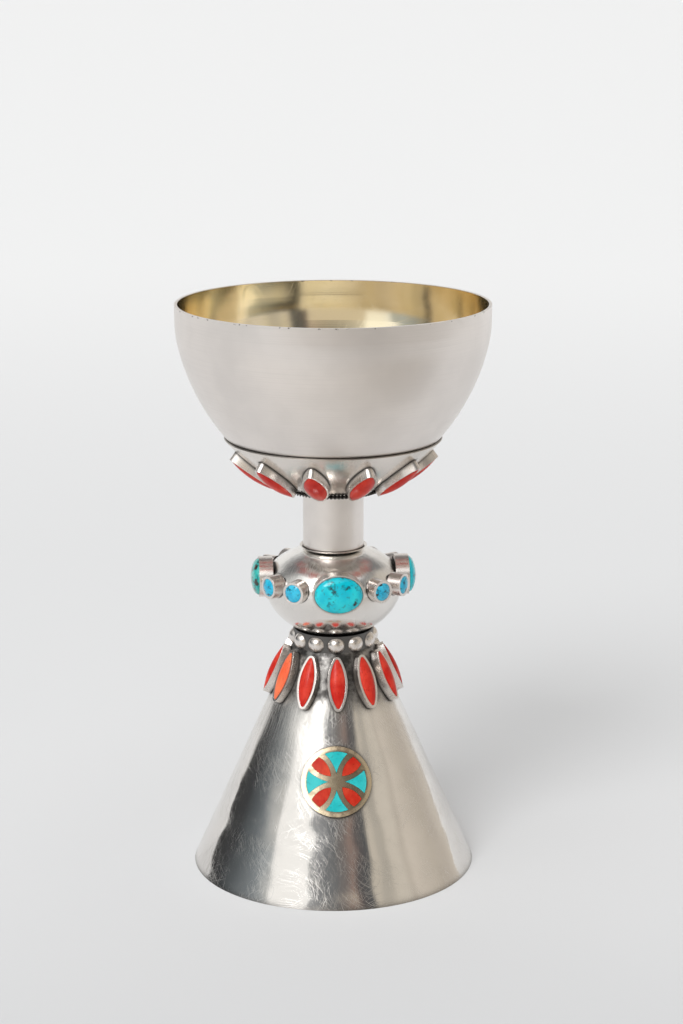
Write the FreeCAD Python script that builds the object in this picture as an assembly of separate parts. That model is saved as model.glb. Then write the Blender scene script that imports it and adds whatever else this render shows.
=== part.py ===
import FreeCAD, Part
import math
import os
from FreeCAD import Matrix, Placement, Rotation, Vector

# A standing cup of raised silver, about eight inches tall. A hollow conical foot carries a short
# neck with silver beads, an oblate knop set with turquoise, a plain stem, and a bowl that sits in
# a dished calyx set with coral. A threaded stud soldered under the bowl runs down inside the
# stack, and a nut inside the foot draws all the pieces together.
# Millimetres and degrees. +Z is up, the origin is on the table under the middle of the foot,
# and the front, with the medallion, faces -Y.

# Foot: a conical sheet that ends in the neck
foot_radius = 49.7
foot_height = 80.0
foot_sheet = 1.1
neck_radius = 14.0
neck_height = 5.9
neck_wall = 1.2
neck_plate_thickness = 1.6
bead_count = 12
bead_radius = 2.85
bead_rise = 1.7
bead_place = 2.6

# Knop: two domed halves that meet at the widest girth
knop_radius = 24.0
knop_lower_height = 16.4
knop_upper_height = 12.3
knop_base_radius = 12.4
knop_top_radius = 8.0
knop_sheet = 1.1

# Stem and the dished collar that it stands in
stem_radius = 10.5
stem_length = 22.0
stem_wall = 1.2
collar_radius = 11.7
collar_sheet = 0.4
collar_lip = 0.4

# Calyx: a shallow dish with a flat floor
calyx_floor_radius = 17.0
calyx_rim_radius = 37.5
calyx_height = 16.7
calyx_sheet = 0.7
calyx_bulge = 10.0
wire_radius = 0.85
wire_inset = 0.7

# Bowl: upright lip, round belly, flank down into the calyx, dished floor
bowl_radius = 53.75
bowl_height = 46.3
bowl_sheet = 1.0
lip_height = 5.5
belly_radius = 39.0
belly_turn = 13.5
bowl_land_radius = 7.0
nesting_angle = 2.0

# Stud and its fastening
stud_radius = 3.0
stud_hole_clearance = 0.3
stud_tail = 2.0
washer_radius = 9.0
washer_thickness = 1.6
nut_across_flats = 10.0
nut_height = 5.0

# Clearances
solder_gap = 0.05
bowl_gap = 0.12
stone_gap = 0.05
stem_play = 0.1

# Settings: plain upright bezels, each with a stone that stands a little above its rim
bezel_root = 3.0
bezel_floor = 0.5
seat_depth = 1.8

large_length = 17.6
large_width = 13.9
large_wall = 0.6
large_stand = 2.0
large_depth = 4.8
large_rise = 2.8
large_count = 4

small_diameter = 7.9
small_wall = 0.9
small_stand = 3.5
small_depth = 4.8
small_rise = 0.9
small_angles = (33.8, 58.0)
knop_setting_lift = 2.0

foot_setting_count = 12
foot_setting_length = 18.7
foot_setting_width = 6.9
foot_setting_tip = 1.5
foot_setting_wall = 0.8
foot_setting_drop = 10.0
foot_setting_stand = 2.9
foot_setting_rise = 1.2

calyx_setting_count = 11
calyx_setting_length = 20.4
calyx_setting_width = 8.6
calyx_setting_tip = 1.8
calyx_setting_wall = 0.6
calyx_setting_place = 11.3
calyx_setting_stand = 2.4
calyx_setting_lean = 3.5
calyx_setting_rise = 1.5

# Medallion: a disc bent round the foot, a little to one side of the front, with inlaid cells
medallion_radius = 12.1
medallion_height = 39.7
medallion_turn = -2.2
medallion_thickness = 1.4
inlay_depth = 0.9
inlay_gap = 0.04
arm_tip = 2.8
arm_reach = 10.3
arm_spread = 22.5
arm_waist = 1.6
petal_tip = 2.7
petal_reach = 10.35
petal_spread = 10.3
petal_waist = 2.0

# Levels of the stack
knop_base_z = foot_height + neck_height
knop_girth_z = knop_base_z + knop_lower_height
knop_top_z = knop_girth_z + knop_upper_height
stem_base_z = knop_top_z + collar_sheet
calyx_floor_z = stem_base_z + stem_length
calyx_rim_z = calyx_floor_z + calyx_height
bowl_rim_z = calyx_rim_z + bowl_height

UP = Vector(0, 0, 1)
stud_hole_radius = stud_radius + stud_hole_clearance
foot_angle = math.degrees(math.atan2(foot_radius - neck_radius, foot_height))


def at(radius, height):
    """A point of a section: distance from the axis and height."""
    return Vector(radius, 0, height)


def slope(degrees):
    """Unit direction in the section, rising at this angle away from the axis."""
    angle = math.radians(degrees)
    return Vector(math.cos(angle), 0, math.sin(angle))


def line(start, end):
    return Part.makeLine(start, end)


def arc(start, middle, end):
    return Part.Arc(start, middle, end).toShape()


def tangent_arc(start, direction, end):
    """Arc in the section that leaves start along direction and ends at end."""
    chord = end - start
    side = Vector(direction.z, 0, -direction.x)
    centre = start + side * (chord.dot(chord) / (2 * chord.dot(side)))
    middle = (start - centre) + (end - centre)
    middle.normalize()
    return arc(start, centre + middle * (start - centre).Length, end)


def revolved(edges):
    """Solid of revolution from the edges of a closed section."""
    section = Part.Face(Part.Wire(Part.__sortEdges__(edges)))
    return section.revolve(Vector(), UP, 360)


def polygon(points):
    """Edges of the closed section through these points."""
    return [line(a, b) for a, b in zip(points, points[1:] + points[:1])]


def tube(outer_radius, inner_radius, bottom, top):
    low = [at(inner_radius, bottom), at(outer_radius, bottom)]
    high = [at(outer_radius, top), at(inner_radius, top)]
    return revolved(polygon(low + high))


def sheet_vessel(edges, thickness):
    """Open vessel of even sheet. The edges of its outer profile run from the rim down to the axis."""
    profile = Part.Wire(Part.__sortEdges__(edges))
    section = profile.makeOffset2D(-thickness, fill=True, openResult=True, join=2)
    return section.revolve(Vector(), UP, 360)


def around(shape, degrees):
    """Copy of a shape turned about the axis of the cup."""
    return shape.rotated(Vector(), UP, degrees)


def save(name, shape):
    solids = shape.Solids
    if not solids or not shape.isValid():
        raise ValueError(name + " is not a valid solid")
    shape.exportStep("parts/" + name + ".step")


def save_group(name, shapes):
    save(name, Part.makeCompound([solid for shape in shapes for solid in shape.Solids]))


# --- Foot ---------------------------------------------------------------------------------


def foot_core(standoff):
    """Filled cone whose side lies this far outside the foot's outer face."""
    growth = standoff / math.cos(math.radians(foot_angle))
    return Part.makeCone(foot_radius + growth, neck_radius + growth, foot_height)


def foot_cone():
    inset = foot_sheet / math.cos(math.radians(foot_angle))
    outer_bottom = at(foot_radius, 0)
    outer_top = at(neck_radius, foot_height)
    inner_top = at(neck_radius - inset, foot_height)
    inner_bottom = at(foot_radius - inset, 0)
    return revolved(polygon([outer_bottom, outer_top, inner_top, inner_bottom]))


def neck_band():
    return tube(neck_radius, neck_radius - neck_wall, foot_height, knop_base_z)


def neck_plate():
    radius = neck_radius - neck_wall - solder_gap
    return tube(radius, stud_hole_radius, knop_base_z - neck_plate_thickness, knop_base_z)


def neck_beads():
    """Half-round silver drops soldered round the neck, just above the top of the cone."""
    ball_radius = (bead_radius**2 + bead_rise**2) / (2 * bead_rise)
    centre_radius = neck_radius + bead_rise - ball_radius
    ball = Part.makeSphere(ball_radius, Vector(0, -centre_radius, foot_height + bead_place))
    bead = ball.cut(Part.makeCylinder(neck_radius, knop_base_z)).cut(foot_core(0))
    return [around(bead, 360 * i / bead_count) for i in range(bead_count)]


# --- Knop ---------------------------------------------------------------------------------


def knop_semi_height(half_height, end_radius, girth_radius):
    """Vertical semi-axis of the elliptical dome that narrows to end_radius at half_height."""
    return half_height / math.sqrt(1 - (end_radius / girth_radius) ** 2)


def dome_arc(girth_radius, semi_height, end_height, direction):
    """Elliptical arc from the girth up (1) or down (-1) to end_height from the girth, and its end."""
    girth = at(girth_radius, knop_girth_z)
    pole = at(0, knop_girth_z + direction * semi_height)
    ellipse = Part.Ellipse(girth, pole, at(0, knop_girth_z))
    turn = math.asin(end_height / semi_height)
    end = at(girth_radius * math.cos(turn), knop_girth_z + direction * end_height)
    return Part.ArcOfEllipse(ellipse, 0, turn).toShape(), end


def knop_half(half_height, end_radius, direction, hole_radius, sheet):
    """Domed half of the knop. Without a sheet thickness it comes out filled."""
    semi_height = knop_semi_height(half_height, end_radius, knop_radius)
    outer, outer_end = dome_arc(knop_radius, semi_height, half_height, direction)
    girth = at(knop_radius, knop_girth_z)
    end_z = knop_girth_z + direction * half_height
    if not sheet:
        return revolved([outer] + [
            line(outer_end, at(0, end_z)),
            line(at(0, end_z), at(0, knop_girth_z)),
            line(at(0, knop_girth_z), girth),
        ])
    inner_girth = at(knop_radius - sheet, knop_girth_z)
    inner, inner_end = dome_arc(knop_radius - sheet, semi_height - sheet, half_height - sheet, direction)
    inner_z = end_z - direction * sheet
    return revolved([outer, inner] + [
        line(girth, inner_girth),
        line(inner_end, at(hole_radius, inner_z)),
        line(at(hole_radius, inner_z), at(hole_radius, end_z)),
        line(at(hole_radius, end_z), outer_end),
    ])


def knop_lower():
    return knop_half(knop_lower_height, knop_base_radius, -1, stud_hole_radius, knop_sheet)


def knop_upper():
    return knop_half(knop_upper_height, knop_top_radius, 1, stud_hole_radius, knop_sheet)


def knop_core():
    lower = knop_half(knop_lower_height, knop_base_radius, -1, 0, 0)
    upper = knop_half(knop_upper_height, knop_top_radius, 1, 0, 0)
    return lower.fuse(upper)


# --- Stem ---------------------------------------------------------------------------------


def stem():
    return tube(stem_radius, stem_radius - stem_wall, stem_base_z, calyx_floor_z)


def stem_collar():
    """Thin dished ring: a flat floor under the stem, and a lip that flares up round it."""
    lip_top = stem_base_z + collar_lip
    under_edge = at(stem_radius - stem_play - collar_sheet / 2, knop_top_z)
    lip_outer = at(collar_radius, lip_top)
    lip_inner = at(collar_radius - collar_sheet, lip_top)
    floor_edge = at(stem_radius + stem_play, stem_base_z)
    bore_top = at(stud_hole_radius, stem_base_z)
    bore_bottom = at(stud_hole_radius, knop_top_z)
    flare = tangent_arc(under_edge, slope(0), lip_outer)
    return revolved([
        flare,
        line(lip_outer, lip_inner),
        line(lip_inner, floor_edge),
        line(floor_edge, bore_top),
        line(bore_top, bore_bottom),
        line(bore_bottom, under_edge),
    ])


# --- Calyx and bowl -----------------------------------------------------------------------

calyx_corner = at(calyx_floor_radius, calyx_floor_z)
calyx_rim = at(calyx_rim_radius, calyx_rim_z)
calyx_chord = calyx_rim - calyx_corner
calyx_chord_angle = math.degrees(math.atan2(calyx_chord.z, calyx_chord.x))
calyx_rim_angle = calyx_chord_angle + calyx_bulge

# The bowl passes just inside the calyx's rim, less steep than the calyx, so the two part below it
calyx_inner_rim = calyx_rim + slope(calyx_rim_angle + 90) * calyx_sheet
bowl_meets_calyx = calyx_inner_rim - at(bowl_gap, 0)
bowl_floor_angle = (calyx_rim_angle - nesting_angle) / 2
bowl_floor_drop = (bowl_meets_calyx.x - bowl_land_radius) * math.tan(math.radians(bowl_floor_angle))
bowl_floor_z = bowl_meets_calyx.z - bowl_floor_drop


def calyx_flank():
    return tangent_arc(calyx_rim, slope(calyx_rim_angle) * -1, calyx_corner)


def calyx():
    floor_hole = at(stud_hole_radius, calyx_floor_z)
    return sheet_vessel([calyx_flank(), line(calyx_corner, floor_hole)], calyx_sheet)


def calyx_core():
    """Everything inside the calyx's outer face, up to its rim."""
    return revolved([
        calyx_flank(),
        line(calyx_corner, at(0, calyx_floor_z)),
        line(at(0, calyx_floor_z), at(0, calyx_rim_z)),
        line(at(0, calyx_rim_z), calyx_rim),
    ])


def calyx_wire():
    """Ring of wire under the edge of the calyx's floor."""
    return Part.makeTorus(calyx_floor_radius - wire_inset, wire_radius, at(0, calyx_floor_z - wire_radius))


def bowl():
    lip_top = at(bowl_radius, bowl_rim_z)
    lip_foot = at(bowl_radius, bowl_rim_z - lip_height)
    belly_centre = lip_foot - at(belly_radius, 0)
    belly_middle = belly_centre + slope(-belly_turn / 2) * belly_radius
    belly_end = belly_centre + slope(-belly_turn) * belly_radius
    floor_edge = at(bowl_land_radius, bowl_floor_z)
    return sheet_vessel([
        line(lip_top, lip_foot),
        arc(lip_foot, belly_middle, belly_end),
        tangent_arc(belly_end, slope(-belly_turn - 90), bowl_meets_calyx),
        tangent_arc(floor_edge, slope(0), bowl_meets_calyx),
        line(floor_edge, at(0, bowl_floor_z)),
    ], bowl_sheet)


# --- Stud and fastening -------------------------------------------------------------------

washer_top_z = knop_base_z - neck_plate_thickness
nut_top_z = washer_top_z - washer_thickness
nut_bottom_z = nut_top_z - nut_height


def bowl_stud():
    """Round stud with a flange that is soldered under the bowl and stands on the calyx's floor."""
    flange_bottom = calyx_floor_z + calyx_sheet
    tail = nut_bottom_z - stud_tail
    return revolved(polygon([
        at(0, tail),
        at(stud_radius, tail),
        at(stud_radius, flange_bottom),
        at(bowl_land_radius, flange_bottom),
        at(bowl_land_radius, bowl_floor_z),
        at(0, bowl_floor_z),
    ]))


def clamp_washer():
    return tube(washer_radius, stud_hole_radius, nut_top_z, washer_top_z)


def clamp_nut():
    corner = at(nut_across_flats / 2 / math.cos(math.radians(30)), nut_bottom_z)
    hexagon = [Rotation(UP, 60 * i).multVec(corner) for i in range(7)]
    blank = Part.Face(Part.makePolygon(hexagon)).extrude(UP * nut_height)
    return blank.cut(Part.makeCylinder(stud_radius + solder_gap, nut_height, Vector(0, 0, nut_bottom_z)))


# --- Settings -----------------------------------------------------------------------------


def marquise(length, width, tip):
    """Closed outline, long along Y: two long arcs joined by a small arc at each tip."""
    tip_centre = length / 2 - tip
    long_radius = (width**2 / 4 + tip_centre**2 - tip**2) / (width - 2 * tip)
    long_centre = width / 2 - long_radius
    reach = long_radius / (long_radius - tip)
    x = long_centre * (1 - reach)
    y = tip_centre * reach
    return Part.Wire([
        arc(Vector(x, -y, 0), Vector(width / 2, 0, 0), Vector(x, y, 0)),
        arc(Vector(x, y, 0), Vector(0, length / 2, 0), Vector(-x, y, 0)),
        arc(Vector(-x, y, 0), Vector(-width / 2, 0, 0), Vector(-x, -y, 0)),
        arc(Vector(-x, -y, 0), Vector(0, -length / 2, 0), Vector(x, -y, 0)),
    ])


def oval(length, width):
    """Closed elliptical outline, long along X."""
    return Part.Wire(Part.Ellipse(Vector(), length / 2, width / 2).toShape())


def disc(diameter):
    return Part.Wire(Part.Circle(Vector(), UP, diameter / 2).toShape())


def bezel(outer, inner, seat, depth):
    """Upright wall with its rim at zero height and a seat for the stone, solid from there to depth."""
    wall = Part.Face(outer).extrude(UP * -depth)
    return wall.cut(Part.Face(inner).extrude(UP * -seat))


def oval_cabochon(length, width, rise, seat):
    """Oval stone, long along X: an upright side from the bezel's seat and a dome over the rim."""
    base = Part.Face(oval(length, width)).extrude(UP * -seat)
    ball = Part.makeSphere(1, Vector(), UP, 0, 90, 360)
    stretch = Matrix()
    stretch.scale(length / 2, width / 2, rise)
    return base.fuse(ball.transformGeometry(stretch)).removeSplitter()


def round_cabochon(diameter, rise, seat):
    """Round stone with a dome that is part of a ball."""
    ball_radius = (diameter**2 / 4 + rise**2) / (2 * rise)
    side = Part.makeCylinder(diameter / 2, seat + rise, UP * -seat)
    return side.common(Part.makeSphere(ball_radius, UP * (rise - ball_radius)))


def marquise_cabochon(length, width, tip, rise, seat):
    """Pointed stone under a barrel-shaped dome whose crown falls to the rim at the tips."""
    across_radius = (width**2 / 4 + rise**2) / (2 * rise)
    axis = UP * (rise - across_radius)
    crown = [Vector(0, side * length / 2, 0) for side in (-1, 1)]
    feet = [Vector(0, side * length / 2, axis.z) for side in (-1, 1)]
    section = Part.Wire([
        arc(crown[0], UP * rise, crown[1]),
        line(crown[1], feet[1]),
        line(feet[1], feet[0]),
        line(feet[0], crown[0]),
    ])
    barrel = Part.Face(section).revolve(axis, Vector(0, 1, 0), 360)
    side = Part.Face(marquise(length, width, tip)).extrude(UP * (seat + rise))
    side.translate(UP * -seat)
    return side.common(barrel)


def standing(origin, outward, upward):
    """Placement of a setting: its rim at origin, facing outward, its length or top upward."""
    across = upward.cross(outward)
    return Placement(origin, Rotation(across, upward, outward, "ZYX"))


def turned(placement, angle):
    """The same place on the other side of the cup, turned about its axis."""
    return Placement(Vector(), Rotation(UP, angle)).multiply(placement)


def knop_placement(stand, angle):
    """On the knop: upright, this far out from its widest girth."""
    origin = Vector(0, -knop_radius - stand, knop_girth_z + knop_setting_lift)
    return turned(standing(origin, Vector(0, -1, 0), UP), angle)


def front(point):
    """A point of the section, swung round to the front of the cup."""
    return Vector(0, -point.x, point.z)


def foot_placement():
    """On the foot: the face stands parallel to the cone's side."""
    outward = slope(foot_angle)
    upward = slope(foot_angle + 90)
    radius = neck_radius + foot_setting_drop * math.tan(math.radians(foot_angle))
    origin = at(radius, foot_height - foot_setting_drop) + outward * foot_setting_stand
    return standing(front(origin), front(outward), front(upward))


def calyx_placement():
    """On the calyx: the face looks down and out, and leans away from the flank towards the rim."""
    flank = calyx_flank().Curve
    on_chord = calyx_corner + slope(calyx_chord_angle) * calyx_setting_place
    seat = flank.value(flank.parameter(on_chord))
    upward = slope(calyx_chord_angle - calyx_setting_lean)
    outward = slope(calyx_chord_angle - calyx_setting_lean - 90)
    origin = seat + outward * calyx_setting_stand
    return standing(front(origin), front(outward), front(upward))


def placed(shape, placement):
    copy = shape.copy()
    copy.Placement = placement.multiply(shape.Placement)
    return copy


def marquise_setting(length, width, tip, wall, stand, rise, placement, core):
    """Bezel seated on the core, and its stone."""
    inner = marquise(length - 2 * wall, width - 2 * wall, tip - wall)
    blank = bezel(marquise(length, width, tip), inner, seat_depth, stand + bezel_root)
    edge = wall + stone_gap
    stone = marquise_cabochon(length - 2 * edge, width - 2 * edge, tip - edge, rise, seat_depth)
    return placed(blank, placement).cut(core), placed(stone, placement)


def foot_settings():
    setting = marquise_setting(
        foot_setting_length, foot_setting_width, foot_setting_tip, foot_setting_wall,
        foot_setting_stand, foot_setting_rise, foot_placement(), foot_core(0),
    )
    steps = [360 * i / foot_setting_count for i in range(foot_setting_count)]
    return [[around(shape, step) for shape in setting] for step in steps]


def calyx_settings():
    """Settings spaced round the calyx so that two of them straddle the front."""
    setting = marquise_setting(
        calyx_setting_length, calyx_setting_width, calyx_setting_tip, calyx_setting_wall,
        calyx_setting_stand, calyx_setting_rise, calyx_placement(), calyx_core(),
    )
    steps = [360 * (i + 0.5) / calyx_setting_count for i in range(calyx_setting_count)]
    return [[around(shape, step) for shape in setting] for step in steps]


def large_settings(core):
    """Flat-backed cups: the knop fills them at its girth, and they stand clear of it above."""
    inner = oval(large_length - 2 * large_wall, large_width - 2 * large_wall)
    seat = large_stand - bezel_floor
    blank = bezel(oval(large_length, large_width), inner, seat, large_depth)
    edge = large_wall + stone_gap
    stone = oval_cabochon(large_length - 2 * edge, large_width - 2 * edge, large_rise, seat)
    places = [knop_placement(large_stand, 360 * i / large_count) for i in range(large_count)]
    return [[placed(blank, place).cut(core), placed(stone, place)] for place in places]


def small_settings(core):
    inner = disc(small_diameter - 2 * small_wall)
    blank = bezel(disc(small_diameter), inner, seat_depth, small_depth)
    stone = round_cabochon(small_diameter - 2 * (small_wall + stone_gap), small_rise, seat_depth)
    angles = [side * angle + turn for turn in (0, 180) for side in (-1, 1) for angle in small_angles]
    places = [knop_placement(small_stand, angle) for angle in sorted(angles)]
    return [[placed(blank, place).cut(core), placed(stone, place)] for place in places]


# --- Medallion ----------------------------------------------------------------------------


def polar(radius, degrees):
    angle = math.radians(degrees)
    return Vector(radius * math.cos(angle), radius * math.sin(angle), 0)


def mirrored(point):
    return Vector(point.x, -point.y, point.z)


def cell(tip, waist, reach, spread):
    """Outline of one cell along X: point, curved sides that are this far out halfway, rim arc."""
    point = Vector(tip, 0, 0)
    side = Vector((tip + reach) / 2, waist, 0)
    corner = polar(reach, spread)
    return Part.Wire([
        arc(point, side, corner),
        arc(corner, Vector(reach, 0, 0), mirrored(corner)),
        arc(mirrored(corner), mirrored(side), point),
    ])


def turquoise_cell():
    return cell(arm_tip, arm_waist, arm_reach, arm_spread)


def coral_cell():
    return cell(petal_tip, petal_waist, petal_reach, petal_spread)


def medallion_placement():
    outward = slope(foot_angle)
    upward = slope(foot_angle + 90)
    radius = foot_radius - medallion_height * math.tan(math.radians(foot_angle))
    place = standing(front(at(radius, medallion_height)), front(outward), front(upward))
    return turned(place, medallion_turn)


def through_medallion(outline, angle):
    """Prism over an outline of the medallion's face, turned by an angle, across its thickness."""
    depth = medallion_radius / 2
    prism = Part.Face(outline).extrude(UP * 2 * depth)
    prism.translate(UP * -depth)
    return placed(prism.rotated(Vector(), UP, angle), medallion_placement())


def between(shape, low, high):
    """What lies between two standoffs from the foot's outer face."""
    return shape.common(foot_core(high)).cut(foot_core(low))


def cells(outline, first_angle):
    return [through_medallion(outline, first_angle + 90 * i) for i in range(4)]


def medallion_plate():
    blank = between(through_medallion(disc(2 * medallion_radius), 0), 0, medallion_thickness)
    floor = medallion_thickness - inlay_depth
    for prism in cells(turquoise_cell(), 0) + cells(coral_cell(), 45):
        blank = blank.cut(between(prism, floor, 2 * medallion_thickness))
    return blank


def inlay(outline, first_angle):
    stone = outline.makeOffset2D(-inlay_gap)
    floor = medallion_thickness - inlay_depth
    return [between(prism, floor, medallion_thickness) for prism in cells(stone, first_angle)]


# --- Files --------------------------------------------------------------------------------


def main():
    os.makedirs("parts", exist_ok=True)
    save("foot_cone", foot_cone())
    save("neck_band", neck_band())
    save("neck_plate", neck_plate())
    save_group("neck_beads", neck_beads())
    save("knop_lower", knop_lower())
    save("knop_upper", knop_upper())
    save("stem_collar", stem_collar())
    save("stem", stem())
    save("calyx", calyx())
    save("calyx_wire", calyx_wire())
    save("bowl", bowl())
    save("bowl_stud", bowl_stud())
    save("clamp_washer", clamp_washer())
    save("clamp_nut", clamp_nut())
    core = knop_core()
    for number, (wall, stone) in enumerate(large_settings(core), 1):
        save("large_bezel_%d" % number, wall)
        save("large_turquoise_%d" % number, stone)
    for number, (wall, stone) in enumerate(small_settings(core), 1):
        save("small_bezel_%d" % number, wall)
        save("small_turquoise_%d" % number, stone)
    foot = foot_settings()
    save_group("foot_bezels", [wall for wall, stone in foot])
    for number, (wall, stone) in enumerate(foot, 1):
        save("foot_coral_%02d" % number, stone)
    settings = calyx_settings()
    save_group("calyx_bezels", [wall for wall, stone in settings])
    save_group("calyx_corals", [stone for wall, stone in settings])
    save("medallion_plate", medallion_plate())
    save_group("medallion_turquoise", inlay(turquoise_cell(), 0))
    save_group("medallion_coral", inlay(coral_cell(), 45))


main()
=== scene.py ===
import math

import bmesh
import bpy
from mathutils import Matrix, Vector


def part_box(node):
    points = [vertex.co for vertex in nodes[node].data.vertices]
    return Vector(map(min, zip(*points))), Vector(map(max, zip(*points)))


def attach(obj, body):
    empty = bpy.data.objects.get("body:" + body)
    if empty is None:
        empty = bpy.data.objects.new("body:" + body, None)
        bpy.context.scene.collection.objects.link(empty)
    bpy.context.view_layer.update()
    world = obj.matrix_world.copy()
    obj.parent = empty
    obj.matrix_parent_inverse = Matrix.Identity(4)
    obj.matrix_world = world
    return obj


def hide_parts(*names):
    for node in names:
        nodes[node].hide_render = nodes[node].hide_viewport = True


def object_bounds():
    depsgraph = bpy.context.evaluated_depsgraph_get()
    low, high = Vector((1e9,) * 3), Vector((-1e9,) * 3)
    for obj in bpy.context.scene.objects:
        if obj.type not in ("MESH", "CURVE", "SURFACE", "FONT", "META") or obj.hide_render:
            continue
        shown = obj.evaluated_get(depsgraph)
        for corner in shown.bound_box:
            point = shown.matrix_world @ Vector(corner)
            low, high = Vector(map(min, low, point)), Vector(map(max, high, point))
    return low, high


# The silver cup in a light tent: satin bowl and stem, polished knop and foot with a fine wear of
# scratches, recesses round the settings darkened by black patina and by painted shade, coral and
# turquoise, and a gilt medallion.
# The model is in metres. Materials work in millimetres, and the scale of a pattern is its steps
# per millimetre.
MM = 0.001

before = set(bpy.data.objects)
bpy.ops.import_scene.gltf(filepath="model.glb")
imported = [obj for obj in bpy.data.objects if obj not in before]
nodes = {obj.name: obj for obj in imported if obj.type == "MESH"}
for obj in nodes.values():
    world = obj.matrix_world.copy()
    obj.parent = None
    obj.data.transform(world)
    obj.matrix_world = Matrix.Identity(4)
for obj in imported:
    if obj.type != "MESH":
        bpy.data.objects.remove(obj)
cad_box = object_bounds()

# Metals
SILVER = (0.83, 0.80, 0.765)
SATIN = (0.82, 0.77, 0.73)
# Brighter copy of the silver for the knop's top: painted sheen of the bright light it reflects
KNOP_TOP_PAINTED_SHEEN = (0.95, 0.935, 0.91)
# Darker copy of the satin silver for the calyx: painted shade of the darker things it reflects
CALYX_PAINTED_SHADE = (0.78, 0.73, 0.68)
FIXINGS = (0.66, 0.64, 0.61)
NECK = (0.15, 0.145, 0.14)
WIRE = (0.10, 0.095, 0.09)
# Black of patina, tarnish and dark joints, and of the painted shade in recesses
BLACK_PATINA_AND_SHADE = (0.030, 0.028, 0.027)
# Stain of the lip's specks, also used for painted shade in the seam at the calyx
STAIN_AND_SHADE = (0.075, 0.058, 0.045)
GOLD = (0.96, 0.87, 0.69)
GOLD_DEEP = (0.912, 0.8091, 0.5796)
MEDALLION_GOLD = (0.81, 0.67, 0.47)

# Share of its brightness that silver keeps where it is clouded
CLOUDED = 0.93

# Stones: the two tones that each is clouded with
CORAL_RED = ((0.55, 0.014, 0.009), (0.75, 0.062, 0.037))
CORAL_ORANGE = ((0.90, 0.13, 0.050), (0.94, 0.24, 0.11))
CORAL_INLAY = ((0.52, 0.022, 0.012), (0.70, 0.085, 0.04))
TURQUOISE_SEA = ((0.0, 0.53, 0.68), (0.02, 0.70, 0.78))
TURQUOISE_GREEN = ((0.02, 0.42, 0.40), (0.09, 0.56, 0.50))
TURQUOISE_SKY = ((0.012, 0.43, 0.70), (0.05, 0.58, 0.82))
TURQUOISE_INLAY = ((0.02, 0.49, 0.52), (0.04, 0.57, 0.59))
MATRIX = (0.035, 0.022, 0.016)

# Scratches on silver, a line for each way they slant: radians turned per mm of height, lines per
# radian round the cup, length in mm, and how widely they spread, from 0 for none to 1 for everywhere.
# Then the scale of their bends, the softness of their edges, the roughness they add, and their depth
# in mm.
SCRATCHES = [
    (0.034, 220, 4.5, 0.375),
    (-0.022, 240, 5.0, 0.37),
    (0.006, 200, 6.5, 0.375),
]
SCRATCH_BEND = 0.035
SCRATCH_EDGE = 0.06
SCRATCH_ROUGHNESS = 0.27
SCRATCH_DEPTH = 0.001

# Roughness added where black patina, tarnish and the painted shade in recesses darken the silver
BLACK_ROUGHNESS = 0.3

# Foot, in mm: heights between which its smoky tarnish sets in, how far below the first of them the
# thin haze under it begins and is at its full strength, and where it thins out from left to right.
# Then the roughness that the haze adds, and the share of it on the right.
SMOKE = (59, 67)
HAZE_STARTS = 28
HAZE_FULL = 4
HAZE_THINS = (-15, -9)
HAZE_ROUGHNESS = 0.25
HAZE_ON_RIGHT = 0.4

# Bowl, in mm: how far below its rim the gilding ends, and the dark specks of its lip set in. Then
# its roughness outside and inside, before its clouds and scratches.
GILDING_ENDS = 0.15
SPECKS_START = (0.5, 0.3)
BOWL_ROUGHNESS = (0.26, 0.08)

# Medallion, in mm from its centre: where its rim brightens
BRIGHT_RIM = (10.4, 11.2)

# Studio round the cup. Heights in it are sines of the angle above the horizon, and degrees are
# counted from the front to the right. A pair of numbers says where a change begins and ends.
# Walls: degrees and colour
WALLS = [
    (-180, (0.86, 0.85, 0.83)),
    (-136, (0.82, 0.81, 0.79)),
    (-131, (0.05, 0.05, 0.05)),
    (-110, (0.055, 0.058, 0.062)),
    (-95, (0.11, 0.125, 0.135)),
    (-75, (0.25, 0.28, 0.30)),
    (-60, (0.42, 0.46, 0.48)),
    (-22, (0.34, 0.35, 0.36)),
    (-12, (0.20, 0.21, 0.22)),
    (-3, (0.17, 0.175, 0.18)),
    (7, (0.20, 0.175, 0.165)),
    (13, (0.30, 0.22, 0.19)),
    (19, (0.12, 0.11, 0.11)),
    (28, (0.10, 0.105, 0.11)),
    (32, (0.60, 0.55, 0.47)),
    (36, (0.60, 0.55, 0.47)),
    (40, (0.50, 0.465, 0.405)),
    (46, (0.49, 0.455, 0.395)),
    (51, (0.65, 0.60, 0.52)),
    (60, (0.66, 0.61, 0.53)),
    (66, (0.57, 0.52, 0.45)),
    (72, (0.68, 0.62, 0.54)),
    (95, (0.55, 0.50, 0.43)),
    (108, (0.54, 0.49, 0.43)),
    (118, (0.63, 0.58, 0.51)),
    (130, (0.57, 0.53, 0.49)),
    (150, (0.72, 0.69, 0.65)),
    (180, (0.86, 0.85, 0.83)),
]

# Tops of the walls: height, the greater height on the right with the degrees of its middle and how
# far from there it falls, and the softness of the edge
WALL_TOP = 0.47
RIGHT_TOP = 0.70
RIGHT_CENTRE = 98
RIGHT_REACH = (22, 34)
TOP_BLUR = 0.05

# Upper part of the left wall: its two ends and its foot
HIGH_LEFT = (0.60, 0.60, 0.58)
HIGH_LEFT_BACK = (-128, -96)
HIGH_LEFT_FRONT = (-40, -35)
HIGH_LEFT_FOOT = (0.27, 0.38)

# Lower part of the front: degrees of its centre and to its ends, and its top
LOW_FRONT = (0.66, 0.59, 0.49)
LOW_FRONT_CENTRE = -14
LOW_FRONT_REACH = (28, 32)
LOW_FRONT_TOP = (0.30, 0.40)

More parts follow.
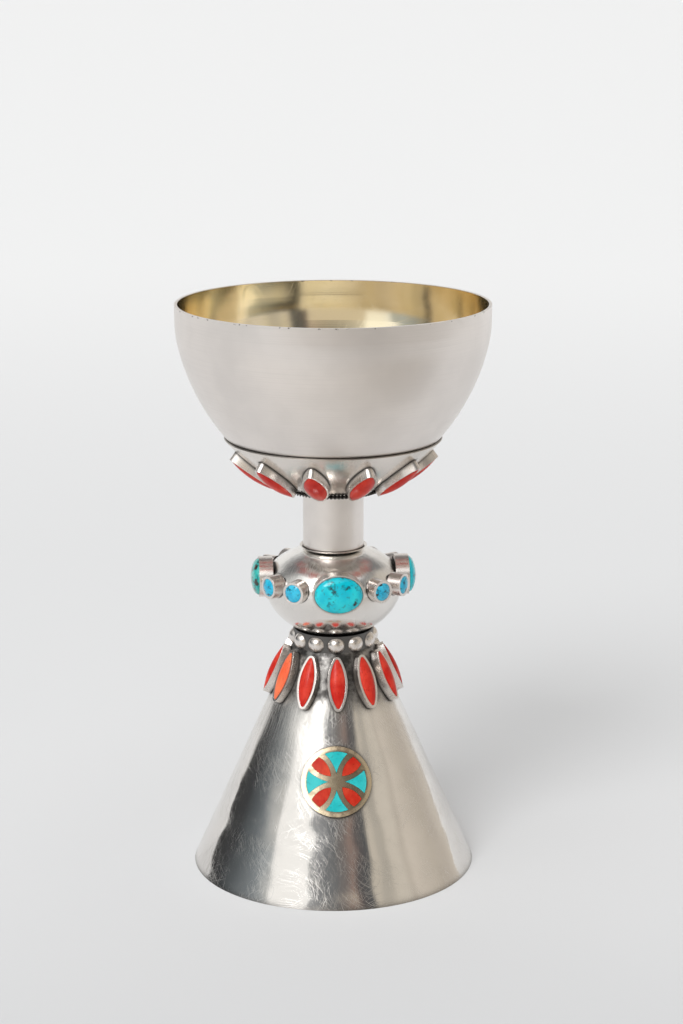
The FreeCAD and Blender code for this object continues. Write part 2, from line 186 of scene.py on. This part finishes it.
# White panel at the front left. Each side edge: the degrees that its slope would meet the horizon
# at, the degrees it leans per unit of height, the height below which it is upright instead, and half
# the width of its blur. It is fainter at its foot.
PANEL = (1.06, 1.06, 1.04)
PANEL_LEFT = (-33.0, -80.0, 0.2, 3.0)
PANEL_RIGHT = (-79.0, 130.0, 0.38, 1.5)
PANEL_FOOT = (0.1, 0.3)
PANEL_FAINT = 0.65

# Above the walls, the soft box overhead and what the camera sees behind the cup
ABOVE_WALLS = (0.17, 0.17, 0.17)
OVERHEAD = (1.55, 1.54, 1.52)
OVERHEAD_EDGE = (0.82, 0.90)
BACKGROUND = (0.86, 0.865, 0.875)

# Ground, in metres from the cup's axis: near it, far from it where painted light makes it paler, and
# its patch of painted shade in front of the cup
GROUND = (0.715, 0.725, 0.742)
GROUND_FAR_PAINTED_LIGHT = (0.82, 0.83, 0.845)
FAR = (0.25, 1.6)
GROUND_PAINTED_SHADE = (0.62, 0.63, 0.648)
PATCH_BACK = (-0.22, 0.02)
PATCH_REACH = (0.3, 0.8)
GROUND_HALF = 30
GROUND_DROP = 0.00002

# Ground in mirrors, with painted light and shade for the reflections: the patch from left to right,
# and well in front, more so on the right
MIRRORED_LEFT_PAINTED_LIGHT = (0.80, 0.80, 0.80)
MIRRORED_RIGHT_PAINTED_SHADE = (0.52, 0.50, 0.475)
MIRRORED_SIDES = (-0.25, 0.25)
MIRRORED_FRONT_PAINTED_SHADE = (0.50, 0.49, 0.48)
FRONT_START = (-1.1, -0.5)
FRONT_SLANT = -0.5

# Sun through the tent's front left side: its width and place in degrees
SUN_STRENGTH = 1.4
SUN_WIDTH = 28
SUN_LEFT = 34
SUN_RISE = 42

# Camera: millimetres of lens and sensor, place in metres, and turns in degrees
LENS = 80.0
SENSOR = 36.0
CAMERA_DISTANCE = 0.7645
CAMERA_HEIGHT = 0.3185
CAMERA_SIDE = -4.0
CAMERA_PAN = -0.214
CAMERA_DOWN = 14.07

# Twisted wire under the calyx: turns of the twist, steps round the ring and sides of a strand
WIRE_TWISTS = 40
WIRE_SEGMENTS = 480
STRAND_SIDES = 10

# Sockets of the colour mixing node, whose names repeat
MIX_FACTOR = 0
MIX_FIRST = 6
MIX_SECOND = 7
MIX_RESULT = 2


# --- Shader helpers -----------------------------------------------------------------------


def feed(tree, socket, value):
    """Link a socket to another node's output, or set its own number, vector or colour."""
    if isinstance(value, bpy.types.NodeSocket):
        tree.links.new(value, socket)
    elif socket.type == "RGBA":
        socket.default_value = (*value, 1.0)
    else:
        socket.default_value = value


def add(tree, kind, inputs=None, **settings):
    """A shader node with its settings, and its inputs by name or number set or linked."""
    node = tree.nodes.new("ShaderNode" + kind)
    for name, value in settings.items():
        setattr(node, name, value)
    for socket, value in (inputs or {}).items():
        feed(tree, node.inputs[socket], value)
    return node


def math_node(tree, operation, *values):
    """The result of a calculation with numbers."""
    return add(tree, "Math", dict(enumerate(values)), operation=operation).outputs[0]


def vector_node(tree, operation, *values):
    """The vector that a vector operation gives."""
    node = add(tree, "VectorMath", dict(enumerate(values)), operation=operation)
    return node.outputs["Vector"]


def vector_value(tree, operation, *values):
    """The plain number that a vector operation gives."""
    node = add(tree, "VectorMath", dict(enumerate(values)), operation=operation)
    return node.outputs["Value"]


def part_of(tree, vector, axis):
    """A vector's X, Y or Z."""
    return add(tree, "SeparateXYZ", {"Vector": vector}).outputs[axis]


def fade(tree, value, low, high, out_low=0.0, out_high=1.0):
    """Smooth step from out_low to out_high, while a value goes from low to high."""
    return add(tree, "MapRange", {
        "Value": value, "From Min": low, "From Max": high, "To Min": out_low, "To Max": out_high,
    }, interpolation_type="SMOOTHSTEP").outputs["Result"]


def blend(tree, factor, first, second):
    """Colour between first and second."""
    node = add(tree, "Mix", {
        MIX_FACTOR: factor, MIX_FIRST: first, MIX_SECOND: second,
    }, data_type="RGBA")
    return node.outputs[MIX_RESULT]


def layered(tree, base, *layers):
    """A base number, and each layer's mask times its amount on top of it."""
    total = base
    for mask, amount in layers:
        total = math_node(tree, "MULTIPLY_ADD", mask, amount, total)
    return total


def scaled(colour, factor):
    """A colour with its brightness multiplied."""
    return tuple(part * factor for part in colour)


def noise(tree, vector, scale, detail=2.0, roughness=0.5):
    """Cloudy pattern of numbers between 0 and 1."""
    return add(tree, "TexNoise", {
        "Vector": vector, "Scale": scale, "Detail": detail, "Roughness": roughness,
    }).outputs["Fac"]


def position(tree):
    """Place on the object in millimetres."""
    metres = add(tree, "TexCoord").outputs["Object"]
    node = add(tree, "VectorMath", {0: metres, "Scale": 1 / MM}, operation="SCALE")
    return node.outputs["Vector"]


def outward(tree, place):
    """Level direction away from the cup's axis."""
    return vector_node(tree, "NORMALIZE", vector_node(tree, "MULTIPLY", place, (1, 1, 0)))


def streaked(tree, place, around, along):
    """Pattern space wound round the cup's axis: steps per radian around it, steps per mm along it."""
    ring = vector_node(tree, "MULTIPLY", outward(tree, place), (around, around, 0))
    rise = vector_node(tree, "MULTIPLY", place, (0, 0, along))
    return vector_node(tree, "ADD", ring, rise)


def hairlines(tree, place, twist, around, length, share):
    """Fine slanting scratches, described as those in SCRATCHES are: 1 on a scratch, 0 beside it."""
    wander = noise(tree, place, SCRATCH_BEND, detail=0.0)
    angle = math_node(tree, "MULTIPLY_ADD", part_of(tree, place, "Z"), twist, wander)
    turned = add(tree, "VectorRotate", {"Vector": place, "Angle": angle}, rotation_type="Z_AXIS")
    wound = streaked(tree, turned.outputs["Vector"], around, 1 / length)
    return fade(tree, noise(tree, wound, 1.0, detail=1.0), 1 - share, 1 - share + SCRATCH_EDGE)


def crevice(tree, reach):
    """Black patina and painted shade in recesses: 1 deep in a corner between pieces and 0 in the
    open, within a reach in millimetres.
    """
    openness = add(tree, "AmbientOcclusion", {"Distance": reach * MM}, samples=8).outputs["AO"]
    return fade(tree, openness, 0.5, 0.95, 1.0, 0.0)


def rounded_edges(tree, radius):
    """Surface direction with the sharp edges rounded to a radius in millimetres."""
    return add(tree, "Bevel", {"Radius": radius * MM}, samples=6).outputs["Normal"]


def outline_mask(tree, radius):
    """1 along the sharp edges of a piece, within a radius in millimetres, and 0 elsewhere."""
    flat = add(tree, "NewGeometry").outputs["True Normal"]
    match = vector_value(tree, "DOT_PRODUCT", rounded_edges(tree, radius), flat)
    return fade(tree, match, 0.80, 0.97, 1.0, 0.0)


def bump(tree, height, strength, distance, normal=None):
    """Relief with a depth in millimetres, on top of an earlier one where there is one."""
    inputs = {"Height": height, "Strength": strength, "Distance": distance * MM}
    if normal is not None:
        inputs["Normal"] = normal
    return add(tree, "Bump", inputs).outputs["Normal"]


def new_material(name):
    """A material and its empty node tree."""
    material = bpy.data.materials.new(name)
    material.use_nodes = True
    tree = material.node_tree
    tree.nodes.clear()
    return material, tree


def finish_material(tree, **inputs):
    """The surface shader, with its sockets by name and underscores for spaces."""
    sockets = {name.replace("_", " "): value for name, value in inputs.items()}
    shader = add(tree, "BsdfPrincipled", sockets)
    add(tree, "OutputMaterial", {"Surface": shader.outputs[0]})


# --- Metals -------------------------------------------------------------------------------


def scratches(tree, place, cloud):
    """1 on the scratches of every slant, and less where the cloudy pattern is low."""
    worn = 0.0
    for slant in SCRATCHES:
        worn = math_node(tree, "MAXIMUM", worn, hairlines(tree, place, *slant))
    return math_node(tree, "MULTIPLY", worn, fade(tree, cloud, 0.35, 0.60, 0.3, 1.0))


def smoky(tree, place, smoke):
    """How black the silver is smoked: in patches, above the two heights between which it sets in."""
    patches = noise(tree, place, 0.22, detail=5.0, roughness=0.6)
    patches = fade(tree, patches, 0.34, 0.60, 0.55, 0.95)
    return math_node(tree, "MULTIPLY", fade(tree, part_of(tree, place, "Z"), *smoke), patches)


def hazy(tree, place, streaks, smoke):
    """Roughness of the streaky haze just below the smoke, most of it on the cup's left."""
    start = smoke[0] - HAZE_STARTS
    full = smoke[0] - HAZE_FULL
    haze = fade(tree, part_of(tree, place, "Z"), start, full, 0.0, HAZE_ROUGHNESS)
    left = fade(tree, part_of(tree, place, "X"), *HAZE_THINS, 1.0, HAZE_ON_RIGHT)
    haze = math_node(tree, "MULTIPLY", haze, left)
    return math_node(tree, "MULTIPLY", haze, fade(tree, streaks, 0.40, 0.62, 0.5, 1.0))


def silver_relief(tree, place, streaks, streak, worn, scratch, edge, dents):
    """Rounded edges, hammer marks, polishing streaks, grain and scratches, each on the one before."""
    grain = noise(tree, streaked(tree, place, 14, 0.9), 1.0, detail=4.0, roughness=0.65)
    relief = rounded_edges(tree, edge) if edge else None
    if dents:
        relief = bump(tree, noise(tree, place, 0.05, detail=1.0), 1.0, dents, relief)
    relief = bump(tree, streaks, streak, 0.02, relief)
    relief = bump(tree, grain, streak, 0.02, relief)
    return bump(tree, worn, scratch, SCRATCH_DEPTH, relief)


def silver(name, colour, shine, spread, streak, scratch, recess, edge=0.0, dents=0.0, smoke=None):
    """Silver: roughness and how far it varies, strength of the polishing streaks and scratches,
    reach in mm of the black patina and painted shade in recesses, radius of the rounded edges in mm,
    depth of the hammer marks in mm, and the heights in mm between which a smoky tarnish sets in."""
    material, tree = new_material(name)
    place = position(tree)
    cloud = noise(tree, place, 0.09, detail=4.0)
    streaks = noise(tree, streaked(tree, place, 90, 0.06), 1.0, detail=3.0)
    worn = scratches(tree, place, cloud)
    # Black patina with painted shade in recesses, and smoky tarnish above the smoke heights
    dark = crevice(tree, recess)
    haze = 0.0
    if smoke:
        dark = math_node(tree, "MAXIMUM", dark, smoky(tree, place, smoke))
        haze = hazy(tree, place, streaks, smoke)
    tone = blend(tree, fade(tree, cloud, 0.35, 0.7), colour, scaled(colour, CLOUDED))
    tone = blend(tree, dark, tone, BLACK_PATINA_AND_SHADE)
    dull = layered(
        tree, shine - spread / 2, (cloud, spread), (streaks, 0.6 * spread),
        (worn, SCRATCH_ROUGHNESS * scratch), (dark, BLACK_ROUGHNESS), (haze, 1.0),
    )
    relief = silver_relief(tree, place, streaks, streak, worn, scratch, edge, dents)
    finish_material(tree, Base_Color=tone, Metallic=1.0, Roughness=dull, Normal=relief)
    return material


def bowl_inside(tree, place, rim):
    """1 on the bowl's inner face up to just below its rim, and 0 outside and on the rim itself."""
    normal = add(tree, "NewGeometry").outputs["True Normal"]
    facing_out = vector_value(tree, "DOT_PRODUCT", outward(tree, place), normal)
    facing_in = math_node(tree, "LESS_THAN", facing_out, -0.02)
    facing_up = math_node(tree, "GREATER_THAN", part_of(tree, normal, "Z"), 0.02)
    below_rim = math_node(tree, "LESS_THAN", part_of(tree, place, "Z"), rim - GILDING_ENDS)
    inner = math_node(tree, "MAXIMUM", facing_in, facing_up)
    return math_node(tree, "MULTIPLY", inner, below_rim)


def bowl_stains(tree, place, rim):
    """How dark the bowl is: stain with painted shade in the seam at the calyx, and stained specks
    along its lip.
    """
    lip = fade(tree, part_of(tree, place, "Z"), rim - SPECKS_START[0], rim - SPECKS_START[1])
    specks = noise(tree, place, 0.55, detail=4.0, roughness=0.7)
    specks = math_node(tree, "MULTIPLY", lip, fade(tree, specks, 0.60, 0.66, 0.0, 0.8))
    return math_node(tree, "MAXIMUM", crevice(tree, 0.6), specks)


def bowl_metal():
    """Satin silver outside and pale gilding inside, which ends at the rim."""
    material, tree = new_material("bowl_silver")
    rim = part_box("bowl")[1].z / MM
    place = position(tree)
    inside = bowl_inside(tree, place, rim)
    cloud = noise(tree, place, 0.05, detail=3.0)
    spun = noise(tree, streaked(tree, place, 1.2, 4.0), 1.0, detail=3.0)
    raised = noise(tree, streaked(tree, place, 9, 0.05), 1.0, detail=3.0)
    worn = hairlines(tree, place, 0.012, 130, 8.0, 0.36)
    satin = blend(tree, fade(tree, cloud, 0.35, 0.65), SATIN, scaled(SATIN, CLOUDED))
    satin = blend(tree, fade(tree, spun, 0.50, 0.66, 0.0, 0.35), satin, scaled(SATIN, 0.90))
    gilt = blend(tree, fade(tree, cloud, 0.3, 0.7), GOLD, GOLD_DEEP)
    tone = blend(tree, inside, satin, gilt)
    # Painted shade with stain in the seam at the calyx, and stained specks on the lip
    tone = blend(tree, bowl_stains(tree, place, rim), tone, STAIN_AND_SHADE)
    even = fade(tree, inside, 0.0, 1.0, *BOWL_ROUGHNESS)
    dull = layered(tree, even, (cloud, 0.08), (worn, 0.10))
    relief = bump(tree, spun, 0.3, 0.02)
    relief = bump(tree, raised, 0.25, 0.03, relief)
    relief = bump(tree, worn, 0.2, 0.003, relief)
    finish_material(tree, Base_Color=tone, Metallic=1.0, Roughness=dull, Normal=relief)
    return material


def medallion_metal():
    """Gilding, pale on the rim and browned between the cells, with dark lines along the edges."""
    material, tree = new_material("medallion_gilt")
    low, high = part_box("medallion_plate")
    centre = tuple((low + high) / 2 / MM)
    place = position(tree)
    radius = vector_value(tree, "LENGTH", vector_node(tree, "SUBTRACT", place, centre))
    cloud = noise(tree, place, 0.5, detail=4.0)
    browned = fade(tree, cloud, 0.3, 0.7, 0.4, 1.0)
    tone = blend(tree, browned, MEDALLION_GOLD, scaled(MEDALLION_GOLD, 0.35))
    tone = blend(tree, fade(tree, radius, *BRIGHT_RIM), tone, MEDALLION_GOLD)
    tone = blend(tree, outline_mask(tree, 0.25), tone, BLACK_PATINA_AND_SHADE)
    dull = fade(tree, cloud, 0.3, 0.7, 0.22, 0.34)
    relief = bump(tree, cloud, 0.3, 0.05)
    finish_material(tree, Base_Color=tone, Metallic=1.0, Roughness=dull, Normal=relief)
    return material


# --- Stones -------------------------------------------------------------------------------


def coral(name, tones, roughness):
    """Polished coral: red with cloudy lighter and darker parts, growth lines and pin holes."""
    deep, light = tones
    material, tree = new_material(name)
    place = position(tree)
    cloud = noise(tree, place, 0.16, detail=3.0)
    upright = add(tree, "Mapping", {"Vector": place, "Scale": (1.4, 1.4, 0.25)})
    lines = noise(tree, upright.outputs["Vector"], 1.0, detail=4.0)
    pits = fade(tree, noise(tree, place, 2.2, detail=1.0), 0.24, 0.30, 1.0, 0.0)
    tone = blend(tree, fade(tree, cloud, 0.3, 0.72), deep, light)
    tone = blend(tree, fade(tree, lines, 0.45, 0.75, 0.0, 0.35), tone, scaled(deep, 0.6))
    tone = blend(tree, pits, tone, scaled(deep, 0.35))
    relief = bump(tree, math_node(tree, "SUBTRACT", lines, pits), 0.25, 0.02)
    finish_material(
        tree, Base_Color=tone, Roughness=roughness, Normal=relief, Specular_IOR_Level=0.1,
        Coat_Weight=0.16, Coat_Roughness=0.12,
    )
    return material


def matrix_veins(tree, place, warped, size):
    """Thin broken veins, at most about half as dark as the matrix itself."""
    web = add(tree, "TexVoronoi", {
        "Vector": warped, "Scale": 0.24 / size,
    }, feature="DISTANCE_TO_EDGE")
    veins = fade(tree, web.outputs["Distance"], 0.0, 0.07, 0.45, 0.0)
    broken = fade(tree, noise(tree, place, 1.1 / size, detail=2.0), 0.50, 0.62)
    return math_node(tree, "MULTIPLY", veins, broken)


def turquoise(name, tones, amount, size):
    """Polished turquoise: cloudy blue with soft dark blotches whose cores are matrix, and fine veins.
    A greater amount gives more matrix, and a greater size makes the whole pattern larger."""
    material, tree = new_material(name)
    place = position(tree)
    cloud = noise(tree, place, 0.30 / size, detail=3.0)
    bent = add(tree, "TexNoise", {"Vector": place, "Scale": 0.5 / size, "Detail": 4.0})
    shift = vector_node(tree, "MULTIPLY", bent.outputs["Color"], (2.2 * size,) * 3)
    warped = vector_node(tree, "ADD", place, shift)
    spread = noise(tree, warped, 0.40 / size, detail=5.0, roughness=0.62)
    haze = fade(tree, spread, 0.66 - amount, 0.76 - amount, 0.0, 0.75)
    cores = fade(tree, spread, 0.73 - amount, 0.79 - amount)
    cores = math_node(tree, "MAXIMUM", cores, matrix_veins(tree, place, warped, size))
    tone = blend(tree, fade(tree, cloud, 0.3, 0.7), *tones)
    tone = blend(tree, haze, tone, scaled(tones[0], 0.22))
    tone = blend(tree, cores, tone, MATRIX)
    relief = bump(tree, cores, -0.4, 0.03)
    finish_material(
        tree, Base_Color=tone, Roughness=0.18, Normal=relief, Specular_IOR_Level=0.1,
        Coat_Weight=0.7, Coat_Roughness=0.07,
    )
    return material


# --- Studio -------------------------------------------------------------------------------


def wall_colours(tree, degrees):
    """Colour of the walls by degrees from the front."""
    turn = math_node(tree, "MULTIPLY_ADD", degrees, 1 / 360, 0.5)
    ramp = add(tree, "ValToRGB", {"Fac": turn})
    elements = ramp.color_ramp.elements
    while len(elements) < len(WALLS):
        elements.new(0.5)
    for element, (stop, colour) in zip(elements, WALLS):
        element.position = 0.5 + stop / 360
        element.color = (*colour, 1.0)
    return ramp.outputs["Color"]


def turned_from(tree, degrees, centre):
    """Degrees between a direction and a centre."""
    return math_node(tree, "ABSOLUTE", math_node(tree, "SUBTRACT", degrees, centre))


def above_walls(tree, degrees, height):
    """1 above the top of the walls, which is higher on the right."""
    top = fade(tree, turned_from(tree, degrees, RIGHT_CENTRE), *RIGHT_REACH, RIGHT_TOP, WALL_TOP)
    return fade(tree, math_node(tree, "SUBTRACT", height, top), 0.0, TOP_BLUR)


def high_left(tree, degrees, height):
    """1 on the upper part of the left wall."""
    left = fade(tree, degrees, *HIGH_LEFT_BACK)
    left = math_node(tree, "MULTIPLY", left, fade(tree, degrees, *HIGH_LEFT_FRONT, 1.0, 0.0))
    return math_node(tree, "MULTIPLY", left, fade(tree, height, *HIGH_LEFT_FOOT))


def low_front(tree, degrees, height):
    """1 on the lower part of the wall in front."""
    turned = turned_from(tree, degrees, LOW_FRONT_CENTRE)
    ahead = fade(tree, turned, *LOW_FRONT_REACH, 1.0, 0.0)
    return math_node(tree, "MULTIPLY", ahead, fade(tree, height, *LOW_FRONT_TOP, 1.0, 0.0))


def panel_edge(tree, height, start, lean, upright):
    """Degrees at which the panel ends, at every height."""
    return math_node(tree, "MULTIPLY_ADD", math_node(tree, "MAXIMUM", height, upright), lean, start)


def white_panel(tree, degrees, height):
    """1 on the white panel, and less at its foot."""
    *left_edge, left_blur = PANEL_LEFT
    *right_edge, right_blur = PANEL_RIGHT
    from_left = math_node(tree, "SUBTRACT", degrees, panel_edge(tree, height, *left_edge))
    from_right = math_node(tree, "SUBTRACT", panel_edge(tree, height, *right_edge), degrees)
    past_left = fade(tree, from_left, -left_blur, left_blur)
    before_right = fade(tree, from_right, -right_blur, right_blur)
    panel = math_node(tree, "MULTIPLY", past_left, before_right)
    return math_node(tree, "MULTIPLY", panel, fade(tree, height, *PANEL_FOOT, PANEL_FAINT, 1.0))


def room_tone(tree):
    """Colour of the room in every direction."""
    direction = add(tree, "TexCoord").outputs["Generated"]
    height = part_of(tree, direction, "Z")
    forward = math_node(tree, "MULTIPLY", part_of(tree, direction, "Y"), -1.0)
    angle = math_node(tree, "ARCTAN2", part_of(tree, direction, "X"), forward)
    degrees = math_node(tree, "MULTIPLY", angle, 180 / math.pi)
    tone = wall_colours(tree, degrees)
    tone = blend(tree, above_walls(tree, degrees, height), tone, ABOVE_WALLS)
    tone = blend(tree, high_left(tree, degrees, height), tone, HIGH_LEFT)
    tone = blend(tree, low_front(tree, degrees, height), tone, LOW_FRONT)
    tone = blend(tree, white_panel(tree, degrees, height), tone, PANEL)
    return blend(tree, fade(tree, height, *OVERHEAD_EDGE), tone, OVERHEAD)


def world_light():
    """Room with a white sweep behind, a left wall that is dark below and pale above, warm walls on
    the right, a front that is warm below and dark above, a white panel at the front left that widens
    upward, and a soft box overhead. The camera sees only pale grey."""
    world = bpy.data.worlds.new("studio")
    bpy.context.scene.world = world
    world.use_nodes = True
    tree = world.node_tree
    tree.nodes.clear()
    room = add(tree, "Background", {"Color": room_tone(tree), "Strength": 1.0})
    seen = add(tree, "Background", {"Color": BACKGROUND, "Strength": 1.0})
    by_camera = add(tree, "LightPath").outputs["Is Camera Ray"]
    mix = add(tree, "MixShader", {0: by_camera, 1: room.outputs[0], 2: seen.outputs[0]})
    add(tree, "OutputWorld", {"Surface": mix.outputs[0]})


def key_light():
    """Large soft light from the front left."""
    light = bpy.data.lights.new("key", "SUN")
    light.energy = SUN_STRENGTH
    light.angle = math.radians(SUN_WIDTH)
    lamp = bpy.data.objects.new("key", light)
    bpy.context.scene.collection.objects.link(lamp)
    side = math.radians(SUN_LEFT)
    rise = math.radians(SUN_RISE)
    level = Vector((-math.sin(side), -math.cos(side), 0)) * math.cos(rise)
    towards = level + Vector((0, 0, math.sin(rise)))
    lamp.rotation_euler = towards.to_track_quat("Z", "Y").to_euler()


def ground_tone(tree):
    """Pale ground, with painted light making it lighter far away and painted shade darkening a patch
    in front of the cup. In mirrors the patch has painted light on the left and painted shade on the
    right, and the ground well in front has painted shade too."""
    place = add(tree, "TexCoord").outputs["Object"]
    sideways = part_of(tree, place, "X")
    depth = part_of(tree, place, "Y")
    distance = vector_value(tree, "LENGTH", place)
    # Painted light: the ground grows paler far away
    tone = blend(tree, fade(tree, distance, *FAR), GROUND, GROUND_FAR_PAINTED_LIGHT)
    # Painted shade in a patch in front of the cup
    before = fade(tree, depth, *PATCH_BACK, 1.0, 0.0)
    patch = math_node(tree, "MULTIPLY", before, fade(tree, distance, *PATCH_REACH, 1.0, 0.0))
    tone = blend(tree, patch, tone, GROUND_PAINTED_SHADE)
    # Painted reflections in mirrors: light on the left, shade on the right and well in front
    by_camera = add(tree, "LightPath").outputs["Is Camera Ray"]
    mirrored = math_node(tree, "SUBTRACT", 1.0, by_camera)
    slanted = math_node(tree, "MULTIPLY_ADD", sideways, FRONT_SLANT, depth)
    front = math_node(tree, "MULTIPLY", fade(tree, slanted, *FRONT_START, 1.0, 0.0), mirrored)
    tone = blend(tree, front, tone, MIRRORED_FRONT_PAINTED_SHADE)
    beside = blend(tree, fade(tree, sideways, *MIRRORED_SIDES), MIRRORED_LEFT_PAINTED_LIGHT, MIRRORED_RIGHT_PAINTED_SHADE)
    return blend(tree, math_node(tree, "MULTIPLY", patch, mirrored), tone, beside)


def studio_floor():
    """Pale seamless ground that the cup stands on."""
    mesh = bmesh.new()
    bmesh.ops.create_grid(mesh, x_segments=1, y_segments=1, size=GROUND_HALF)
    data = bpy.data.meshes.new("floor")
    mesh.to_mesh(data)
    mesh.free()
    floor = bpy.data.objects.new("floor", data)
    bpy.context.scene.collection.objects.link(floor)
    floor.location.z = cad_box[0][2] - GROUND_DROP
    material, tree = new_material("ground")
    finish_material(tree, Base_Color=ground_tone(tree), Roughness=0.9, Specular_IOR_Level=0.1)
    data.materials.append(material)


def camera():
    """Stands a little to the left of the front, and looks down at the cup."""
    data = bpy.data.cameras.new("camera")
    data.lens = LENS
    data.sensor_width = SENSOR
    data.clip_end = 100.0
    view = bpy.data.objects.new("camera", data)
    bpy.context.scene.collection.objects.link(view)
    side = math.radians(CAMERA_SIDE)
    away = Vector((math.sin(side), -math.cos(side), 0)) * CAMERA_DISTANCE
    view.location = away + Vector((0, 0, CAMERA_HEIGHT))
    turn = math.radians(CAMERA_SIDE + CAMERA_PAN)
    view.rotation_euler = (math.radians(90 - CAMERA_DOWN), 0.0, turn)
    bpy.context.scene.camera = view


# --- Pieces made here ---------------------------------------------------------------------


def strand_section(mesh, middle, out, radius):
    """The points of a round section across a strand."""
    up = Vector((0, 0, 1))
    section = []
    for side in range(STRAND_SIDES):
        turn = 2 * math.pi * side / STRAND_SIDES
        offset = (out * math.cos(turn) + up * math.sin(turn)) * radius
        section.append(mesh.verts.new(middle + offset))
    return section


def add_strand(mesh, start, ring, radius, height):
    """A closed strand that winds round the ring's middle line, from a starting angle."""
    sections = []
    for step in range(WIRE_SEGMENTS):
        angle = 2 * math.pi * step / WIRE_SEGMENTS
        twist = start + WIRE_TWISTS * angle
        out = Vector((math.cos(angle), math.sin(angle), 0))
        middle = out * (ring + radius * math.cos(twist))
        middle.z = height + radius * math.sin(twist)
        sections.append(strand_section(mesh, middle, out, radius))
    for first, second in zip(sections, sections[1:] + sections[:1]):
        for side in range(STRAND_SIDES):
            after = (side + 1) % STRAND_SIDES
            mesh.faces.new((first[side], first[after], second[after], second[side]))


def twisted_wire(material):
    """Two strands twisted together and bent to a ring, in the place of the plain ring."""
    low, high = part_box("calyx_wire")
    wire = (high.z - low.z) / 2
    mesh = bmesh.new()
    for start in (0.0, math.pi):
        add_strand(mesh, start, high.x - wire, wire / 2, (low.z + high.z) / 2)
    bmesh.ops.recalc_face_normals(mesh, faces=mesh.faces)
    data = bpy.data.meshes.new("twisted_wire")
    mesh.to_mesh(data)
    mesh.free()
    data.shade_smooth()
    data.materials.append(material)
    piece = bpy.data.objects.new("twisted_wire", data)
    bpy.context.scene.collection.objects.link(piece)
    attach(piece, "root")
    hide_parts("calyx_wire")


# --- Scene --------------------------------------------------------------------------------


def dress(material, *names):
    """Give nodes a material in place of their own."""
    for name in names:
        piece = nodes[name]
        if piece.material_slots:
            for slot in piece.material_slots:
                slot.material = material
        else:
            piece.data.materials.append(material)


def numbered(stem, count, digits=1):
    """Names numbered from 1, with leading zeros where they have more digits."""
    return [stem + str(i).zfill(digits) for i in range(1, count + 1)]


def dress_sheet():
    """The raised and spun sheet: foot, knop, stem, collar, calyx and bowl."""
    # Each recess reach sets how far black patina and painted shade spread from corners
    polished = silver("polished_silver", SILVER, shine=0.045, spread=0.04, streak=0.25,
                      scratch=1.0, recess=4.0, dents=0.6, smoke=SMOKE)
    knop = silver("knop_silver", SILVER, shine=0.14, spread=0.07, streak=0.25,
                  scratch=0.4, recess=0.8, dents=0.1)
    # The knop's top takes the brighter silver, a painted sheen
    crown = silver("knop_top_sheen_silver", KNOP_TOP_PAINTED_SHEEN, shine=0.16, spread=0.08, streak=1.6,
                   scratch=0.4, recess=0.2, dents=0.45)
    satin = silver("satin_silver", SATIN, shine=0.27, spread=0.08, streak=0.20,
                   scratch=0.2, recess=0.6)
    collar = silver("collar_silver", SILVER, shine=0.20, spread=0.08, streak=0.20,
                    scratch=0.2, recess=0.2)
    # The calyx takes the darker silver, a painted shade
    petals = silver("calyx_shaded_silver", CALYX_PAINTED_SHADE, shine=0.19, spread=0.08, streak=0.35,
                    scratch=0.2, recess=1.6)
    dress(polished, "foot_cone")
    dress(knop, "knop_lower")
    dress(crown, "knop_upper")
    dress(satin, "stem")
    dress(collar, "stem_collar")
    dress(petals, "calyx")
    dress(bowl_metal(), "bowl")


def dress_trim():
    """The beaded neck, the settings, the medallion, the wire and the fixings inside."""
    # Each recess reach sets how far black patina and painted shade spread from corners
    setting = silver("setting_silver", SATIN, shine=0.24, spread=0.10, streak=0.3,
                     scratch=0.2, recess=1.6, edge=0.22, dents=0.08)
    dark = silver("dark_silver", WIRE, shine=0.42, spread=0.1, streak=0.1,
                  scratch=0.1, recess=0.8)
    band = silver("band_silver", NECK, shine=0.33, spread=0.1, streak=0.1,
                  scratch=0.1, recess=0.7)
    beads = silver("bead_silver", SATIN, shine=0.25, spread=0.05, streak=0.0,
                   scratch=0.2, recess=1.8)
    plain = silver("plain_silver", FIXINGS, shine=0.33, spread=0.08, streak=0.2,
                   scratch=0.2, recess=1.0, edge=0.15)
    dress(setting, "foot_bezels", "calyx_bezels")
    dress(setting, *numbered("large_bezel_", 4), *numbered("small_bezel_", 8))
    dress(band, "neck_band", "neck_plate")
    dress(beads, "neck_beads")
    dress(plain, "bowl_stud", "clamp_washer", "clamp_nut")
    dress(medallion_metal(), "medallion_plate")
    twisted_wire(dark)


def dress_stones():
    """The corals are red but for one orange one, and the knop's fourth large stone is green."""
    red = coral("coral_red", CORAL_RED, 0.36)
    dress(red, "calyx_corals", *numbered("foot_coral_", 12, 2))
    dress(coral("coral_orange", CORAL_ORANGE, 0.36), "foot_coral_11")
    dress(coral("inlay_coral", CORAL_INLAY, 0.26), "medallion_coral")
    sea = turquoise("turquoise_sea", TURQUOISE_SEA, 0.10, 1.25)
    dress(sea, *numbered("large_turquoise_", 4))
    dress(turquoise("turquoise_green", TURQUOISE_GREEN, 0.16, 0.9), "large_turquoise_4")
    sky = turquoise("turquoise_sky", TURQUOISE_SKY, 0.13, 0.8)
    dress(sky, *numbered("small_turquoise_", 8))
    dress(turquoise("inlay_turquoise", TURQUOISE_INLAY, -0.1, 1.0), "medallion_turquoise")


def main():
    camera()
    world_light()
    studio_floor()
    key_light()
    dress_sheet()
    dress_trim()
    dress_stones()


main()
bpy.context.scene.view_settings.view_transform = "Standard"
